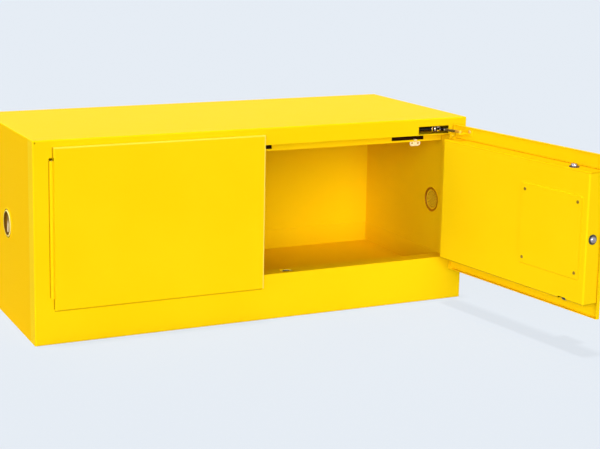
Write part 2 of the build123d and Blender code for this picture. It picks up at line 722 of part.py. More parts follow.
def closer_rod(angle):
    """Piston, rod and fork with a grooved stem, and the pin that the link turns on."""
    x, y = fork_point(angle)
    half = FORK_WIDTH / 2
    low = FORK_GAP_LOW - FORK_EAR
    high = FORK_GAP_HIGH + FORK_EAR
    body = block(x - FORK_REACH, x, y - half, y + half, low, high)
    body = body + upright(x, y, low, high, half)
    body = body - block(
        x - FORK_THROAT, x + FORK_WIDTH, y - FORK_WIDTH, y + FORK_WIDTH,
        FORK_GAP_LOW, FORK_GAP_HIGH)
    body = body + upright(x, y, low, high, LINK_PIN_R)
    for index in range(FORK_GROOVES):
        groove = x - FORK_REACH + FORK_RIB + index * (FORK_GROOVE + FORK_RIB)
        body = body - block(groove, groove + FORK_GROOVE, y - half, y + half, low, high)
    tail = x - FORK_REACH - ROD_LENGTH
    body = body + crossways(tail, x - FORK_THROAT, y, CLOSER_Z, ROD_R)
    return body + crossways(tail, tail + PISTON_LENGTH, y, CLOSER_Z, PISTON_R)


def tube_limits():
    """Left and right end of the right closer tube."""
    x1 = WIDTH - TUBE_FROM_SIDE
    return (x1 - TUBE_LENGTH, x1)


def closer_tube():
    """Tube of the right closer, closed at its left end."""
    x0, x1 = tube_limits()
    body = crossways(x0, x1, CLOSER_Y, CLOSER_Z, TUBE_R)
    body = body - crossways(x0 + TUBE_CAP, x1 - TUBE_CAP, CLOSER_Y, CLOSER_Z, TUBE_BORE_R)
    return body - crossways(x1 - 2 * TUBE_CAP, x1 + TUBE_CAP, CLOSER_Y, CLOSER_Z, TUBE_MOUTH_R)


def closer_clamps():
    """Two blocks that hold the right closer tube in the top rail."""
    x0, x1 = tube_limits()
    clamps = []
    for x in (x0 + CLAMP_INSET, x1 - CLAMP_INSET):
        clamp = block(
            x - CLAMP_WIDTH / 2, x + CLAMP_WIDTH / 2, SHEET,
            CLOSER_Y + TUBE_R + CLAMP_BACK_WALL, LINER_TOP, CLOSER_Z + TUBE_R + CLAMP_TOP_WALL)
        clamps.append(clamp - crossways(x0, x1, CLOSER_Y, CLOSER_Z, TUBE_R + RUNNING_FIT))
    return Compound(clamps)


def vent_socket(y, z):
    """Left vent: tube through both walls with a ringed outer flange."""
    inner = OUTER_OFFSET + SHEET
    body = crossways(0, inner + VENT_FLANGE, y, z, VENT_TUBE_R)
    body = body + crossways(-VENT_FLANGE, 0, y, z, VENT_FLANGE_R)
    ring = crossways(-VENT_INNER_RING_HEIGHT, 0, y, z, VENT_TUBE_R + VENT_RING_WIDTH / 2)
    body = body + ring
    outer = crossways(-VENT_OUTER_RING_HEIGHT, 0, y, z, VENT_FLANGE_R)
    outer = outer - crossways(
        -VENT_INNER_RING_HEIGHT, 0, y, z, VENT_FLANGE_R - VENT_RING_WIDTH)
    body = body + outer
    body = body + crossways(inner, inner + VENT_FLANGE, y, z, VENT_INNER_FLANGE_R)
    return body - crossways(-DEPTH, DEPTH, y, z, VENT_BORE_R)


def vent_screen(y, z):
    """Left vent: perforated flame arrester inside the tube."""
    x0 = SCREEN_DEPTH
    body = crossways(x0, x0 + SCREEN_THICK, y, z, VENT_BORE_R - CLOSE_FIT)
    holes = [Pos(0, 0) * Circle(SCREEN_HOLE_R)]
    for ring in range(1, SCREEN_RINGS + 1):
        for spot in PolarLocations(ring * SCREEN_PITCH, 6 * ring):
            holes.append(spot * Circle(SCREEN_HOLE_R))
    drill = extrude(Sketch() + holes, amount=3 * SCREEN_THICK)
    return body - Pos(x0 - SCREEN_THICK, y, z) * Rot(0, 90, 0) * drill


def vent_plug(y, z):
    """Left vent: screwed cap with a grip bar in its recess."""
    x0 = PLUG_DEPTH
    body = crossways(x0, x0 + PLUG_THICK, y, z, PLUG_R)
    body = body - crossways(-DEPTH, x0 + PLUG_RECESS, y, z, PLUG_R - PLUG_RIM)
    half = PLUG_BAR_WIDTH / 2
    reach = PLUG_R - PLUG_RIM / 2
    floor = x0 + PLUG_RECESS
    bar = block(floor - PLUG_BAR_HEIGHT, floor, y - half, y + half, z - reach, z + reach)
    bar = bar & crossways(0, DEPTH, y, z, PLUG_R - PLUG_RIM / 2)
    bar = bar.rotate(Axis((0, y, z), (1, 0, 0)), PLUG_BAR_TILT)
    return body + bar


def strike_plate(z0):
    """Plate behind a strike slot."""
    plate = block(
        LATCH_X - STRIKE_LENGTH / 2, LATCH_X + STRIKE_LENGTH / 2, BOLT_Y - STRIKE_WIDTH / 2,
        BOLT_Y + STRIKE_WIDTH / 2, z0, z0 + STRIKE_SHEET)
    return plate - upright(LATCH_X, BOLT_Y, 0, TALL, BOLT_R + STRIKE_HOLE_MARGIN)


def ground_stud():
    """Stud with washers and a nut through the right side."""
    body = crossways(WIDTH - SHEET - STUD_IN, WIDTH + STUD_OUT, STUD_Y, STUD_Z, STUD_R)
    body = body + crossways(WIDTH, WIDTH + WASHER, STUD_Y, STUD_Z, WASHER_R)
    inside = WIDTH - SHEET
    body = body + crossways(inside - WASHER, inside, STUD_Y, STUD_Z, WASHER_R)
    for x in (WIDTH + WASHER, inside - WASHER - NUT):
        flat = Plane.YZ * Pos(STUD_Y, STUD_Z) * RegularPolygon(NUT_ACROSS / 2, 6, False)
        body = body + Pos(x, 0, 0) * extrude(flat, amount=NUT)
    return body


def ground_wing_nut():
    """Wing nut on the earthing stud."""
    x0 = WIDTH + WASHER + NUT + FIT_GAP
    body = crossways(x0, x0 + WING_HUB, STUD_Y, STUD_Z, WING_HUB_R)
    for side in (-1, 1):
        near = STUD_Y
        far = STUD_Y + side * WING_SPAN / 2
        wing = block(
            x0 + WING_START, x0 + WING_HEIGHT, min(near, far), max(near, far),
            STUD_Z - WING_SHEET / 2, STUD_Z + WING_SHEET / 2)
        corner = wing.edges().filter_by(Axis.Z)
        outer = corner.sort_by(Axis.Y)[-2:] if side > 0 else corner.sort_by(Axis.Y)[:2]
        body = body + fillet(outer, WING_CORNER)
    return body - crossways(WIDTH, WIDTH + DEPTH, STUD_Y, STUD_Z, STUD_R + RUNNING_FIT)


def fusible_link():
    """Link plate that hangs behind the stop flange."""
    y0 = FRAME_DEPTH + STOP_SETBACK + SHEET + FIT_GAP
    z1 = OPENING_TOP - STOP_DROP + LINK_PLATE_LAP
    flat = Plane.XZ * Pos(LINK_PLATE_X, z1 - LINK_PLATE_HEIGHT / 2) * SlotOverall(
        LINK_PLATE_LENGTH, LINK_PLATE_HEIGHT)
    plate = Pos(0, y0 + LINK_PLATE_THICK, 0) * extrude(flat, amount=LINK_PLATE_THICK)
    reach = LINK_PLATE_LENGTH / 2 - LINK_PLATE_HEIGHT / 2
    for side in (-1, 1):
        plate = plate - inward(
            LINK_PLATE_X + side * reach, 0, DEPTH, z1 - LINK_PLATE_HEIGHT / 2,
            LINK_PLATE_HOLE_R)
    return plate


def link_hanger():
    """Strap that carries the link plate from the slot in the stop flange."""
    stop = FRAME_DEPTH + STOP_SETBACK
    low = OPENING_TOP - STOP_DROP
    slot_low = low + STOP_SLOT_LOW
    x0 = LINK_PLATE_X - HANGER_WIDTH / 2
    x1 = LINK_PLATE_X + HANGER_WIDTH / 2
    back = stop + SHEET + FIT_GAP + LINK_PLATE_THICK
    strap = block(
        x0, x1, back, back + HANGER_SHEET, low - HANGER_DROP, slot_low + HANGER_SHEET)
    strap = strap + block(
        x0, x1, stop - HANGER_SHEET, back + HANGER_SHEET, slot_low, slot_low + HANGER_SHEET)
    return strap + block(
        x0, x1, stop - HANGER_SHEET, stop, slot_low - STOP_SLOT_LOW / 2,
        slot_low + HANGER_SHEET)


def domed_bar(length):
    """Round bolt along +Z from the origin, domed at its far end."""
    bar = Pos(0, 0, length / 2) * Cylinder(BOLT_R, length)
    return fillet(bar.edges().sort_by(Axis.Z)[-1], BOLT_DOME)


def bolt_tip_top():
    """Height of the top bolt's tip at rest."""
    return OPENING_TOP - TOP_BOLT_CLEAR


def bolt_tip_low():
    """Height of the bottom bolt's tip at rest."""
    return SILL_TOP + BOTTOM_BOLT_CLEAR


def rod_bar(x0, x1, z0, z1):
    """One straight run of a latch rod in the plane of the upright rods."""
    y0 = BOLT_Y - LATCH_ROD_THICK / 2
    return block(x0, x1, y0, y0 + LATCH_ROD_THICK, z0, z1)


def upright_latch_rod(head_x, end_z):
    """Jogged flat rod from a hub pin to the end of an upright bolt."""
    half = LATCH_ROD_WIDTH / 2
    side = 1 if end_z > HUB_Z else -1
    head = LATCH_ROD_HEAD / 2
    jog = HUB_Z + side * JOG_RISE
    rod = rod_bar(
        head_x - half, head_x + half, min(HUB_Z, jog + side * half),
        max(HUB_Z, jog + side * half))
    rod = rod + rod_bar(head_x - head, head_x + head, HUB_Z - half, HUB_Z + half)
    rod = rod + rod_bar(
        min(head_x, LATCH_X) - half, max(head_x, LATCH_X) + half, jog - half, jog + half)
    rod = rod + rod_bar(LATCH_X - half, LATCH_X + half, min(jog, end_z), max(jog, end_z))
    slot_x = LATCH_ROD_SLOT / 2
    slot_z = HUB_PIN_R + LATCH_ROD_FIT
    return rod - block(
        head_x - slot_x, head_x + slot_x, 0, BOLT_Y * 2, HUB_Z - slot_z, HUB_Z + slot_z)


def top_bolt():
    """Top bolt with its rod."""
    tip = bolt_tip_top()
    length = BOLT_BACKSET + tip - BOX_HIGH
    bolt = Pos(LATCH_X, BOLT_Y, tip - length) * domed_bar(length)
    return bolt + upright_latch_rod(LATCH_X + HUB_ARM_R, tip - length)


def bottom_bolt():
    """Bottom bolt with its rod."""
    tip = bolt_tip_low()
    length = BOLT_BACKSET + BOX_LOW - tip
    bolt = Pos(LATCH_X, BOLT_Y, tip + length) * Rot(180, 0, 0) * domed_bar(length)
    return bolt + upright_latch_rod(LATCH_X - HUB_ARM_R, tip + length)


def middle_bolt():
    """Middle bolt with its rod on the far side of the hub."""
    tip = WIDTH - PAN_FREE + MIDDLE_BOLT_CLEAR
    length = MIDDLE_BOLT_LENGTH
    bolt = Pos(tip + length, BOLT_Y, MIDDLE_BOLT_Z) * Rot(0, -90, 0) * domed_bar(length)
    y0 = HUB_Y + HUB_THICK + FIT_GAP
    y1 = y0 + LATCH_ROD_THICK - FIT_GAP
    half = LATCH_ROD_WIDTH / 2
    end = tip + length
    level = HUB_Z + HUB_MIDDLE_R
    jog = LATCH_X - HUB_ARM_R - half
    rod = block(
        end - MIDDLE_ROD_LAP, jog + half, y0, y1, MIDDLE_BOLT_Z - half, MIDDLE_BOLT_Z + half)
    rod = rod + block(jog - half, jog + half, y0, y1, MIDDLE_BOLT_Z - half, level + half)
    rod = rod + block(jog - half, LATCH_X + half, y0, y1, level - half, level + half)
    head = LATCH_ROD_HEAD / 2
    rod = rod + block(LATCH_X - half, LATCH_X + half, y0, y1, level - head, level + head)
    slot_x = HUB_PIN_R + LATCH_ROD_FIT
    slot_z = LATCH_ROD_SLOT / 2
    rod = rod - block(
        LATCH_X - slot_x, LATCH_X + slot_x, 0, DEPTH, level - slot_z, level + slot_z)
    return bolt + rod


def bolt_bushings():
    """Guides that the three bolts slide in."""
    bore_r = BOLT_R + RUNNING_FIT
    top = upright(
        LATCH_X, BOLT_Y, BOX_HIGH - BUSHING_INSIDE, BOX_HIGH + TOP_BUSHING_PROUD, BUSHING_R)
    top = top - upright(LATCH_X, BOLT_Y, 0, TALL, bore_r)
    low = upright(
        LATCH_X, BOLT_Y, BOX_LOW - LOW_BUSHING_PROUD, BOX_LOW + BUSHING_INSIDE, BUSHING_R)
    low = low - upright(LATCH_X, BOLT_Y, 0, TALL, bore_r)
    middle = crossways(
        BOX_FREE - LOW_BUSHING_PROUD, BOX_FREE + MIDDLE_BUSHING_INSIDE, BOLT_Y,
        MIDDLE_BOLT_Z, BUSHING_R)
    middle = middle - crossways(0, WIDTH, BOLT_Y, MIDDLE_BOLT_Z, bore_r)
    return Compound([top, low, middle])


def latch_hub():
    """Turning plate with the pins that draw the three rods."""
    y0 = HUB_Y
    y1 = HUB_Y + HUB_THICK
    half = HUB_ARM_WIDTH / 2
    left = LATCH_X - HUB_ARM_R - half
    right = LATCH_X + HUB_LEVER
    body = inward(LATCH_X, y0, y1, HUB_Z, HUB_R)
    body = body + block(left, right, y0, y1, HUB_Z - half, HUB_Z + half)
    body = body + block(
        LATCH_X - half, LATCH_X + half, y0, y1, HUB_Z, HUB_Z + HUB_MIDDLE_R + half)
    body = body + block(
        right - HUB_ARM_WIDTH, right, HUB_TAB_Y, y1, HUB_Z - half, HUB_Z + half)
    near = BOLT_Y - LATCH_ROD_THICK / 2
    for side in (-1, 1):
        body = body + inward(LATCH_X + side * HUB_ARM_R, near, y0, HUB_Z, HUB_PIN_R)
    body = body + inward(
        LATCH_X, y1, y1 + LATCH_ROD_THICK, HUB_Z + HUB_MIDDLE_R, HUB_PIN_R)
    return body - inward(LATCH_X, 0, DEPTH, HUB_Z, HUB_PIVOT_R + RUNNING_FIT)


def cup_floor():
    """Depth of the inner face of the cup's floor."""
    return PAN_FRONT + CUP_DEPTH


def latch_chassis():
    """Plate on posts behind the cup that carries the hub."""
    x0 = LATCH_X - HUB_ARM_R - LATCH_ROD_GAP - LATCH_ROD_WIDTH
    x1 = x0 + CHASSIS_WIDTH
    z0 = HUB_Z - CHASSIS_HEIGHT / 2
    z1 = HUB_Z + CHASSIS_HEIGHT / 2
    body = block(x0, x1, CHASSIS_Y, CHASSIS_Y + CHASSIS_SHEET, z0, z1)
    back = cup_floor() + CUP_WALL
    post_x1 = HANDLE_X + CUP_WIDTH / 2 - POST_INSET
    post_z0 = z0 + POST_INSET
    for x, z in ((post_x1, post_z0), (post_x1, CUP_TOP - POST_INSET),
                 (LATCH_X + LATCH_ROD_WIDTH + POST_R, post_z0)):
        body = body + inward(x, back, CHASSIS_Y, z, POST_R)
    return body + inward(LATCH_X, BOLT_Y, CHASSIS_Y, HUB_Z, HUB_PIVOT_R)


def paddle_pivot_z():
    """Height of the paddle's pivot, set by the tail resting over the hub lever."""
    drop = TAIL_LENGTH * sin(radians(PADDLE_REST))
    return HUB_Z + HUB_ARM_WIDTH / 2 + TAIL_GAP + TAIL_THICK / 2 + drop


def handle_cup():
    """Recessed cup in the right door, with a rim on the outer face."""
    half = CUP_WIDTH / 2
    low = CUP_TOP - CUP_HEIGHT
    floor = cup_floor()
    body = block(
        HANDLE_X - half, HANDLE_X + half, PAN_FRONT, floor + CUP_WALL, low, CUP_TOP)
    rim = block(
        HANDLE_X - half - CUP_RIM, HANDLE_X + half + CUP_RIM, PAN_FRONT - CUP_RIM_THICK,
        PAN_FRONT, low - CUP_RIM, CUP_TOP + CUP_RIM)
    rim = fillet(rim.edges().filter_by(Axis.Y), CUP_RIM)
    rim = fillet(rim.faces().sort_by(Axis.Y)[0].edges(), CUP_RIM_THICK / 2)
    body = body + rim
    hollow = block(
        HANDLE_X - half + CUP_WALL, HANDLE_X + half - CUP_WALL, -DEPTH, floor,
        low + CUP_WALL, CUP_TOP - CUP_WALL)
    hollow = fillet(hollow.edges().filter_by(Axis.Y), CUP_RIM / 2)
    body = body - hollow
    pivot = paddle_pivot_z()
    body = body - block(
        HANDLE_X - TAIL_SLOT_WIDTH / 2, HANDLE_X + TAIL_SLOT_WIDTH / 2, floor - CUP_WALL,
        floor + 2 * CUP_WALL, pivot - TAIL_SLOT_DROP, pivot + TAIL_SLOT_RISE)
    return body - inward(
        HANDLE_X, floor - CUP_WALL, floor + 2 * CUP_WALL, low + LOCK_ABOVE_CUP_FLOOR,
        LOCK_R + RUNNING_FIT)


def paddle_pin():
    """Pivot pin of the paddle, seated in the side walls of the cup."""
    reach = CUP_WIDTH / 2 - CUP_WALL
    return crossways(
        HANDLE_X - reach, HANDLE_X + reach, PADDLE_PIVOT_Y, paddle_pivot_z(), PADDLE_PIN_R)


def handle_paddle():
    """Pull paddle with its barrel and the tail that works the hub."""
    pivot = paddle_pivot_z()
    half = PADDLE_WIDTH / 2
    front = PAN_FRONT
    body = block(
        HANDLE_X - half, HANDLE_X + half, front, front + PADDLE_THICK,
        pivot - PADDLE_DROP, pivot + PADDLE_RISE)
    body = fillet(body.edges().filter_by(Axis.Y), PADDLE_THICK / 2)
    body = body + block(
        HANDLE_X - half + PADDLE_THICK, HANDLE_X + half - PADDLE_THICK, front,
        front + PADDLE_THICK + PADDLE_LIP, pivot - PADDLE_DROP,
        pivot - PADDLE_DROP + PADDLE_THICK)
    body = body + crossways(
        HANDLE_X - half + PADDLE_THICK, HANDLE_X + half - PADDLE_THICK, PADDLE_PIVOT_Y, pivot,
        PADDLE_BARREL_R)
    body = body + block(
        HANDLE_X - TAIL_WIDTH / 2, HANDLE_X + TAIL_WIDTH / 2, PADDLE_PIVOT_Y,
        PADDLE_PIVOT_Y + TAIL_LENGTH, pivot - TAIL_THICK / 2, pivot + TAIL_THICK / 2)
    body = body - crossways(
        0, WIDTH, PADDLE_PIVOT_Y, pivot, PADDLE_PIN_R + RUNNING_FIT)
    return body.rotate(Axis((0, PADDLE_PIVOT_Y, pivot), (1, 0, 0)), -PADDLE_REST)


def paddle_spring():
    """Torsion spring round the pivot pin beside the paddle."""
    start = HANDLE_X + PADDLE_WIDTH / 2 + TORSION_FROM_PADDLE
    length = TORSION_PITCH * TORSION_TURNS
    path = Helix(TORSION_PITCH, length, PADDLE_PIN_R + TORSION_WIRE_R + FIT_GAP)
    section = Plane(origin=path @ 0, z_dir=path % 0) * Circle(TORSION_WIRE_R)
    coil = sweep(section, path=path)
    return Pos(start, PADDLE_PIVOT_Y, paddle_pivot_z()) * Rot(0, 90, 0) * coil


def lock_cylinder():
    """Key cylinder in the cup's floor, with its cam behind."""
    z = CUP_TOP - CUP_HEIGHT + LOCK_ABOVE_CUP_FLOOR
    floor = cup_floor()
    back = floor + CUP_WALL
    body = inward(HANDLE_X, floor - LOCK_PROUD, back + FIT_GAP, z, LOCK_R)
    body = body - block(
        HANDLE_X - KEYWAY_WIDTH / 2, HANDLE_X + KEYWAY_WIDTH / 2, -DEPTH,
        floor - LOCK_PROUD + KEYWAY_DEPTH, z - KEYWAY_HEIGHT / 2, z + KEYWAY_HEIGHT / 2)
    flat = Plane.XZ * Pos(HANDLE_X + CAM_LENGTH / 2 - CAM_WIDTH / 2, z) * SlotOverall(
        CAM_LENGTH, CAM_WIDTH)
    cam = Pos(0, back + FIT_GAP + CAM_THICK, 0) * extrude(flat, amount=CAM_THICK)
    return body + cam


def build_cabinet():
    """Pieces that stand still."""
    export("outer_wrap", outer_wrap())
    export("back_panel", back_panel())
    export("base_panel", base_panel())
    export("floor_supports", floor_supports())
    export("front_frame", front_frame())
    export("liner_wrap", liner_wrap())
    export("liner_back", liner_back())
    export("sump_tray", sump_tray())
    export("door_stop", door_stop())
    export("top_strike", strike_plate(LINER_TOP))
    export("bottom_strike", strike_plate(SILL_TOP - SHEET - STRIKE_SHEET))
    export("ground_stud", ground_stud())
    export("ground_wing_nut", ground_wing_nut())
    export("fusible_link", fusible_link())
    export("link_hanger", link_hanger())
    for name, make in (("vent_socket", vent_socket), ("vent_screen", vent_screen),
                       ("vent_plug", vent_plug)):
        export("left_" + name, make(LEFT_VENT_Y, LEFT_VENT_Z))
        export("right_" + name, mirrored(make(RIGHT_VENT_Y, RIGHT_VENT_Z)))


def build_hinges_and_closers():
    """Pieces that both sides have, the left ones mirrored and closed."""
    fixed = (("hinge_frame_leaf", hinge_frame_leaf()), ("hinge_pin", hinge_pin()),
             ("closer_tube", closer_tube()), ("closer_clamps", closer_clamps()))
    for name, shape in fixed:
        export("right_" + name, shape)
        export("left_" + name, mirrored(shape))
    for name, make in (("closer_link", closer_link), ("closer_rod", closer_rod)):
        export("right_" + name, make(OPEN_ANGLE))
        export("left_" + name, mirrored(make(0)))
    hung = (("hinge_door_leaf", hinge_door_leaf()), ("door_bracket", door_bracket()),
            ("bracket_bolt", bracket_bolt()))
    for name, shape in hung:
        export("right_" + name, swung(shape))
        export("left_" + name, mirrored(shape))


def build_doors():
    """The two door shells and all that the right one holds."""
    export("left_door_pan", mirrored(door_pan()))
    export("left_door_box", left_box())
    export("edge_strike", edge_strike())
    right = (("right_door_pan", right_pan()), ("right_door_box", right_box()),
             ("latch_cover_plate", cover_plate()), ("cover_screws", cover_screws()),
             ("handle_cup", handle_cup()), ("paddle_pin", paddle_pin()),
             ("paddle_spring", paddle_spring()), ("latch_chassis", latch_chassis()),
             ("bolt_bushings", bolt_bushings()), ("latch_hub", latch_hub()),
             ("top_bolt", top_bolt()), ("bottom_bolt", bottom_bolt()),
             ("middle_bolt", middle_bolt()), ("handle_paddle", handle_paddle()),
             ("lock_cylinder", lock_cylinder()))
    for name, shape in right:
        export(name, swung(shape))


os.makedirs("parts", exist_ok=True)
build_cabinet()
build_hinges_and_closers()
build_doors()
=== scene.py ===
"""Looks of a low flammable safety cabinet with one door open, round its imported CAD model."""

import json
import logging
import math
from dataclasses import dataclass, field
from enum import Enum
from typing import Callable, ClassVar, Iterable, Optional, Union

import bpy
from mathutils import Matrix, Vector

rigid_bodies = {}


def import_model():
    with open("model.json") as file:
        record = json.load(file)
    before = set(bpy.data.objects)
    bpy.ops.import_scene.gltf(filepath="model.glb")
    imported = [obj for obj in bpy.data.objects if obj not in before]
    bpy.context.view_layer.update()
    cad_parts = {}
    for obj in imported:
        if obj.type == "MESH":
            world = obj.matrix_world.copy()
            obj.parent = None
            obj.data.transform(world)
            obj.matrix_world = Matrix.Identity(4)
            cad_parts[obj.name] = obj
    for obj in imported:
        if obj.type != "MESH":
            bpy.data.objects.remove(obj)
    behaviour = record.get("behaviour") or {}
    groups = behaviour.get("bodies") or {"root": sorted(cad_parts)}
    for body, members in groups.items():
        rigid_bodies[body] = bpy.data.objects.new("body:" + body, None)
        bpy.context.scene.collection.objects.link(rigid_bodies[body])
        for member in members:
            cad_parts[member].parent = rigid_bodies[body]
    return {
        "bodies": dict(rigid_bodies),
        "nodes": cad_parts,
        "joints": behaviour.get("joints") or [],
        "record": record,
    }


LOG = logging.getLogger("safety_cabinet")
CORNER_SAMPLES = 6
NOISE_MIDDLE = 0.5
FULL = 1.0
Colour = tuple[float, float, float]
Triple = tuple[float, float, float]
Span = tuple[float, float]
Point = tuple[float, float]


def opaque(colour: Colour) -> tuple[float, float, float, float]:
    """The colour with full alpha, as colour sockets want it."""
    return (*colour, 1.0)


class Signal:
    """A value in a shader, with the arithmetic that its Math nodes do."""

    def __init__(self, graph: "Graph", socket: bpy.types.NodeSocket) -> None:
        """Keep the graph and the output socket."""
        self.graph = graph
        self.socket = socket

    def maths(self, operation: str, *others: "Term") -> "Signal":
        """Apply a Math node.

        Args:
            operation: the node's operation.
            others: further operands.

        Returns:
            The result.
        """
        inputs = dict(enumerate((self, *others)))
        return self.graph.add("ShaderNodeMath", {"operation": operation}, inputs)

    def __add__(self, other: "Term") -> "Signal":
        """Sum."""
        return self.maths("ADD", other)

    def __radd__(self, other: float) -> "Signal":
        """Sum with a number on the left."""
        return self.maths("ADD", other)

    def __sub__(self, other: "Term") -> "Signal":
        """Difference."""
        return self.maths("SUBTRACT", other)

    def __rsub__(self, other: float) -> "Signal":
        """Difference from a number on the left."""
        return self.graph.add("ShaderNodeMath", {"operation": "SUBTRACT"}, {0: other, 1: self})

    def __mul__(self, other: "Term") -> "Signal":
        """Product."""
        return self.maths("MULTIPLY", other)

    def __rmul__(self, other: float) -> "Signal":
        """Product with a number on the left."""
        return self.maths("MULTIPLY", other)

    def band(self, low: float, high: float, edge: float) -> "Signal":
        """Mark a stretch of values with 1.

        Args:
            low: where the stretch begins.
            high: where it ends.
            edge: width of its soft ends.

        Returns:
            1 inside the stretch and 0 outside it.
        """
        half = edge / 2
        rise = self.step(low - half, low + half)
        return rise * (1.0 - self.step(high - half, high + half))

    def step(self, low: float, high: float) -> "Signal":
        """Rise smoothly from 0 to 1.

        Args:
            low: the value at which the result leaves 0.
            high: the value at which it reaches 1.

        Returns:
            The step.
        """
        settings = {"interpolation_type": "SMOOTHSTEP"}
        values = {"Value": self, "From Min": low, "From Max": high}
        return self.graph.add("ShaderNodeMapRange", settings, values)


Term = Union[Signal, float]


class Graph:
    """The node tree of one material or of the world."""

    def __init__(self, owner: Union[bpy.types.Material, bpy.types.World]) -> None:
        """Start with an empty node tree.

        Args:
            owner: the material or the world.
        """
        owner.use_nodes = True
        self.owner = owner
        self.tree = owner.node_tree
        self.tree.nodes.clear()

    @classmethod
    def material(cls, name: str) -> "Graph":
        """The graph of a new material."""
        return cls(bpy.data.materials.new(name))

    def _node(
        self,
        kind: str,
        settings: dict[str, object],
        inputs: dict[Union[int, str], object],
    ) -> bpy.types.Node:
        """Make a node.

        Args:
            kind: the node's type.
            settings: its properties.
            inputs: socket name or number to a value or a signal.

        Returns:
            The node.
        """
        node = self.tree.nodes.new(kind)
        for key, value in settings.items():
            setattr(node, key, value)
        for key, value in inputs.items():
            if isinstance(value, Signal):
                self.tree.links.new(value.socket, node.inputs[key])
            else:
                node.inputs[key].default_value = value
        return node

    def add(
        self,
        kind: str,
        settings: Optional[dict[str, object]] = None,
        inputs: Optional[dict[Union[int, str], object]] = None,
        output: Union[int, str] = 0,
    ) -> Signal:
        """Add a node and take one of its outputs.

        Args:
            kind: the node's type.
            settings: its properties.
            inputs: what goes into its sockets.
            output: the output that is wanted.

        Returns:
            The signal at that output.
        """
        node = self._node(kind, settings or {}, inputs or {})
        return Signal(self, node.outputs[output])

    def close(self, kind: str, shader: Signal) -> None:
        """Send a shader to an output node of some kind."""
        self._node(kind, {}, {"Surface": shader})

    def place(self) -> Signal:
        """Position on the piece, in metres."""
        return self.add("ShaderNodeTexCoord", output="Object")

    def axis(self, name: str) -> Signal:
        """One coordinate of the position."""
        return self.add("ShaderNodeSeparateXYZ", inputs={0: self.place()}, output=name)

    def reach(self, centre: Point) -> Signal:
        """Measure how far the place is from a line along X.

        Args:
            centre: Y and Z of the line.

        Returns:
            The distance in metres.
        """
        across = self.axis("Y") - centre[0]
        above = self.axis("Z") - centre[1]
        return (across * across + above * above).maths("SQRT")

    def stretched(self, scale: Triple) -> Signal:
        """Position scaled on each axis."""
        return self.add("ShaderNodeMapping", inputs={"Vector": self.place(), "Scale": scale})

    def noise(self, scale: float, detail: float, vector: Optional[Signal] = None) -> Signal:
        """Noise with a number of waves per metre."""
        inputs = {"Vector": vector or self.place(), "Scale": scale, "Detail": detail}
        return self.add("ShaderNodeTexNoise", inputs=inputs)

    def blend(self, mask: Term, first: object, second: object) -> Signal:
        """Mix two colours.

        Args:
            mask: 0 for the first colour and 1 for the second.
            first: a colour or a signal.
            second: a colour or a signal.

        Returns:
            The mixed colour.
        """
        settings = {"data_type": "RGBA"}
        values = {0: mask, 6: first, 7: second}
        return self.add("ShaderNodeMix", settings, values, output=2)

    def bump(self, height: Signal, distance: float, corner: float) -> Signal:
        """A normal from a height, over corners that look rounded.

        Args:
            height: the height, 0 to 1.
            distance: metres that a height of 1 stands for.
            corner: radius at the corners, in metres.

        Returns:
            The normal.
        """
        soft = self.add("ShaderNodeBevel", {"samples": CORNER_SAMPLES}, {"Radius": corner})
        values = {"Height": height, "Distance": distance, "Normal": soft}
        return self.add("ShaderNodeBump", inputs=values)

    def surface(self, values: dict[Union[int, str], object]) -> bpy.types.Material:
        """Close the graph with a principled surface.

        Args:
            values: sockets of the surface and what goes into them.

        Returns:
            The finished material.
        """
        shader = self.add("ShaderNodeBsdfPrincipled", inputs=values)
        self.close("ShaderNodeOutputMaterial", shader)
        return self.owner


@dataclass(frozen=True)
class Grain:
    """Noise: its waves per metre and its detail."""

    per_metre: float
    detail: float

    def height(self, graph: Graph) -> Signal:
        """The noise, about 0 to 1."""
        return graph.noise(self.per_metre, self.detail)

    def swing(self, graph: Graph, share: float) -> Signal:
        """The noise centred on 0, over a span of share."""
        return (self.height(graph) - NOISE_MIDDLE) * share


@dataclass(frozen=True)
class Patches(Grain):
    """Soft patches: noise of which the stretch from low to high runs from 0 to 1."""

    low: float
    high: float

    def mask(self, graph: Graph) -> Signal:
        """How far a place is inside a patch."""
        return self.height(graph).step(self.low, self.high)


@dataclass(frozen=True)
class ColourBand:
    """A stretch of a piece in another colour, such as painted shade, a painted highlight or a
    gilt end: what it spans on each axis, its colour and its strength.
    """

    colour: Colour
    x: Optional[Span] = None
    y: Optional[Span] = None
    z: Optional[Span] = None
    strength: float = FULL
    edge: float = 0.0003

    def over(self, graph: Graph, colour: object) -> Signal:
        """Lay the band over a colour.

        Args:
            graph: the material's graph.
            colour: the colour below, plain or varying.

        Returns:
            The colour with the band over it.
        """
        spans = {"X": self.x, "Y": self.y, "Z": self.z}
        held = [graph.axis(name).band(*span, self.edge) for name, span in spans.items() if span]
        mask = math.prod(held, start=self.strength)
        return graph.blend(mask, colour, opaque(self.colour))


PAINT: Colour = (0.970, 0.630, 0.003)
THICK_PAINT: Colour = (0.980, 0.650, 0.004)
PAINT_SHINE = 0.003


